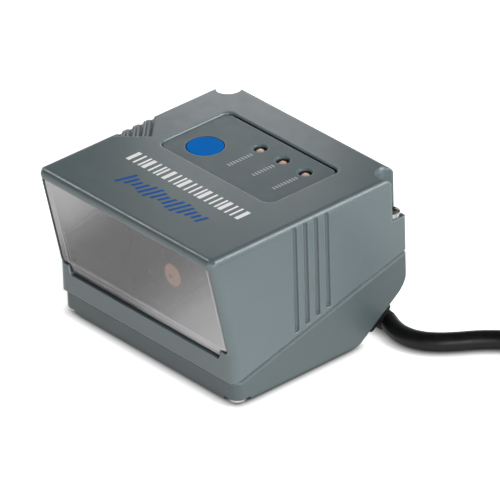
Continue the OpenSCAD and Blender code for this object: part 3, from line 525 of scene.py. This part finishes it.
def prism(mesh, outline, foot, top):
    """Adds an upright prism over an outline of (x, y) points, in millimetres."""
    rings = [[mesh.verts.new(Vector((x, y, z)) * MM) for x, y in outline] for z in (foot, top)]
    mesh.faces.new(list(reversed(rings[0])))
    mesh.faces.new(rings[1])
    for i in range(len(outline)):
        j = (i + 1) % len(outline)
        mesh.faces.new((rings[0][i], rings[0][j], rings[1][j], rings[1][i]))


def print_mark(name, outlines, surface_z, material):
    """One printed mark: thin plates of ink, sunk a hair into the surface below."""
    mesh = bmesh.new()
    for outline in outlines:
        prism(mesh, outline, surface_z - INK_SINK, surface_z + INK_T)
    bmesh.ops.recalc_face_normals(mesh, faces=mesh.faces)
    data = bpy.data.meshes.new(name)
    mesh.to_mesh(data)
    mesh.free()
    mark = bpy.data.objects.new(name, data)
    scene.collection.objects.link(mark)
    dress(mark, material)
    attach(mark, "reader")
    return mark


def slanted(x, y, w, h, slant=0.0):
    """A bar's four corners, leaning by slant of its height."""
    lean = slant * h / 2
    low, high = y - h / 2, y + h / 2
    return [(x - lean, low), (x + w - lean, low), (x + w + lean, high), (x + lean, high)]


def bar_outlines():
    x, outlines = BAR_X, []
    for i, run in enumerate(BAR_RUNS):
        if i % 2 == 0:
            outlines.append(slanted(x, sum(BAR_Y) / 2, run * BAR_MODULE, BAR_Y[1] - BAR_Y[0]))
        x += run * BAR_MODULE
    return outlines


white_ink = ink_look("white_ink", srgb(255, 255, 255))
blue_ink = ink_look("blue_ink", srgb(14, 88, 166))
label_ink = ink_look("label_ink", srgb(176, 181, 184))
print_mark("roof_bars", bar_outlines(), ROOF_Z, white_ink)
print_mark("roof_wave", [slanted(WAVE_X + i * WAVE_PITCH, WAVE_Y, WAVE_BAR, h, WAVE_SLANT)
                         for i, h in enumerate(WAVE_HEIGHTS)], ROOF_Z, blue_ink)
print_mark("panel_ticks", [slanted(x - TICK_H / 2, y - i * TICK_PITCH, TICK_H, TICK_W)
                           for x, y, count in TICK_ROWS for i in range(count)], PANEL_Z, label_ink)

# Studio: pale floor, soft lamps and an even sky

FLOOR_ALBEDO = 0.92
FLOOR_LIFT, FAR_LIFT = 0.72, 0.9
NEAR_R, FAR_R = 0.3, 1.5
DISH = ((3.5, 0.0), (3.9, 0.08), (4.25, 0.3), (4.45, 0.65), (4.5, 1.6))
DISH_SIDES = 64
SKY_LEVEL = 0.12
# Painted contact shadow on the floor: its reach and how fast it falls.
PAINTED_SHADOW_REACH = 0.0024
PAINTED_SHADOW_FALL = 1.15


def seen_directly(tree):
    """1 for rays from the camera and for mirrored or refracted ones, 0 for light on its way to the object."""
    path = tree.nodes.new("ShaderNodeLightPath")
    first = tree.nodes.new("ShaderNodeMath")
    both = tree.nodes.new("ShaderNodeMath")
    first.operation = both.operation = "MAXIMUM"
    tree.links.new(path.outputs["Is Camera Ray"], first.inputs[0])
    tree.links.new(path.outputs["Is Glossy Ray"], first.inputs[1])
    tree.links.new(first.outputs[0], both.inputs[0])
    tree.links.new(path.outputs["Is Transmission Ray"], both.inputs[1])
    return both.outputs[0]


def painted_contact_shadow(tree):
    """Painted contact shadow: 1 on the open floor, falling towards 0 where the object stands close."""
    open_sky = tree.nodes.new("ShaderNodeAmbientOcclusion")
    open_sky.inputs["Distance"].default_value = PAINTED_SHADOW_REACH
    fall = tree.nodes.new("ShaderNodeMath")
    fall.operation = "POWER"
    fall.inputs[1].default_value = PAINTED_SHADOW_FALL
    tree.links.new(open_sky.outputs["AO"], fall.inputs[0])
    return fall.outputs[0]


def lift_level(tree, painted_shadow_factor):
    """The floor's own light: less where the object stands close, a painted contact shadow, and more where the
    lamps no longer reach.
    """
    place = tree.nodes.new("ShaderNodeTexCoord")
    away = tree.nodes.new("ShaderNodeVectorMath")
    away.operation = "LENGTH"
    tree.links.new(place.outputs["Object"], away.inputs[0])
    level = tree.nodes.new("ShaderNodeMapRange")
    for socket, value in (("From Min", NEAR_R), ("From Max", FAR_R), ("To Min", FLOOR_LIFT),
                          ("To Max", FAR_LIFT)):
        level.inputs[socket].default_value = value
    tree.links.new(away.outputs["Value"], level.inputs["Value"])
    share = tree.nodes.new("ShaderNodeMath")
    share.operation = "MULTIPLY"
    tree.links.new(level.outputs[0], share.inputs[0])
    tree.links.new(painted_shadow_factor, share.inputs[1])
    return share.outputs[0]


def floor_look():
    material = bpy.data.materials.new("floor")
    material.use_nodes = True
    tree = material.node_tree
    tree.nodes.remove(tree.nodes["Principled BSDF"])
    matte = tree.nodes.new("ShaderNodeBsdfDiffuse")
    painted_shadow_factor = painted_contact_shadow(tree)
    # Painted contact shadow: the floor's colour darkens where the object stands close.
    painted_light = tree.nodes.new("ShaderNodeMapRange")
    painted_light.inputs["To Max"].default_value = FLOOR_ALBEDO
    tree.links.new(painted_shadow_factor, painted_light.inputs["Value"])
    tree.links.new(painted_light.outputs[0], matte.inputs["Color"])
    lift = tree.nodes.new("ShaderNodeEmission")
    share = tree.nodes.new("ShaderNodeMath")
    share.operation = "MULTIPLY"
    tree.links.new(seen_directly(tree), share.inputs[0])
    tree.links.new(lift_level(tree, painted_shadow_factor), share.inputs[1])
    tree.links.new(share.outputs[0], lift.inputs["Strength"])
    both = tree.nodes.new("ShaderNodeAddShader")
    tree.links.new(matte.outputs[0], both.inputs[0])
    tree.links.new(lift.outputs[0], both.inputs[1])
    tree.links.new(both.outputs[0], tree.nodes["Material Output"].inputs["Surface"])
    return material


def make_floor():
    """A flat floor whose far rim curves up into a low wall."""
    turns = [2 * math.pi * k / DISH_SIDES for k in range(DISH_SIDES)]
    points = [(r * math.cos(a), r * math.sin(a), z) for r, z in DISH for a in turns]
    faces = [tuple(range(DISH_SIDES))]
    for ring in range(len(DISH) - 1):
        for k in range(DISH_SIDES):
            a, b = ring * DISH_SIDES + k, ring * DISH_SIDES + (k + 1) % DISH_SIDES
            faces.append((a, b, b + DISH_SIDES, a + DISH_SIDES))
    mesh = bpy.data.meshes.new("floor")
    mesh.from_pydata(points, [], faces)
    mesh.materials.append(floor_look())
    floor = bpy.data.objects.new("floor", mesh)
    scene.collection.objects.link(floor)


def make_sky():
    world = bpy.data.worlds.new("studio")
    world.use_nodes = True
    sky = world.node_tree.nodes["Background"]
    sky.inputs["Color"].default_value = (1, 1, 1, 1)
    sky.inputs["Strength"].default_value = SKY_LEVEL
    scene.world = world


def softbox(name, target, towards, away, size, level):
    """A square area lamp that gives a surface facing it a light level of 1 per unit of level."""
    direction = Vector(towards).normalized()
    data = bpy.data.lights.new(name, "AREA")
    data.shape = "SQUARE"
    data.size = size
    data.energy = level * (math.pi * away) ** 2
    lamp = bpy.data.objects.new(name, data)
    lamp.location = target + direction * away
    lamp.rotation_mode = "QUATERNION"
    lamp.rotation_quaternion = direction.to_track_quat("Z", "Y")
    scene.collection.objects.link(lamp)


LAMP_AWAY, CARD_AWAY = 1.2, 0.088
ROOF_BACK = Vector((-25, 29, ROOF_Z)) * MM
make_floor()
make_sky()
softbox("key", CASE_MIDDLE, (0.91, -0.34, 0.17), LAMP_AWAY, size=0.7, level=0.95)
softbox("edge", CASE_MIDDLE, (0.57, 0.5, 0.59), LAMP_AWAY, size=0.6, level=0.54)
softbox("brow", CASE_MIDDLE, (-0.655, -0.1, 0.74), LAMP_AWAY, size=0.3, level=0.17)
softbox("card", ROOF_BACK, (-0.655, 0.56, 0.51), CARD_AWAY, size=0.05, level=0.17)
scene.view_settings.view_transform = "Standard"

# Last update of the view layer

bpy.context.view_layer.update()
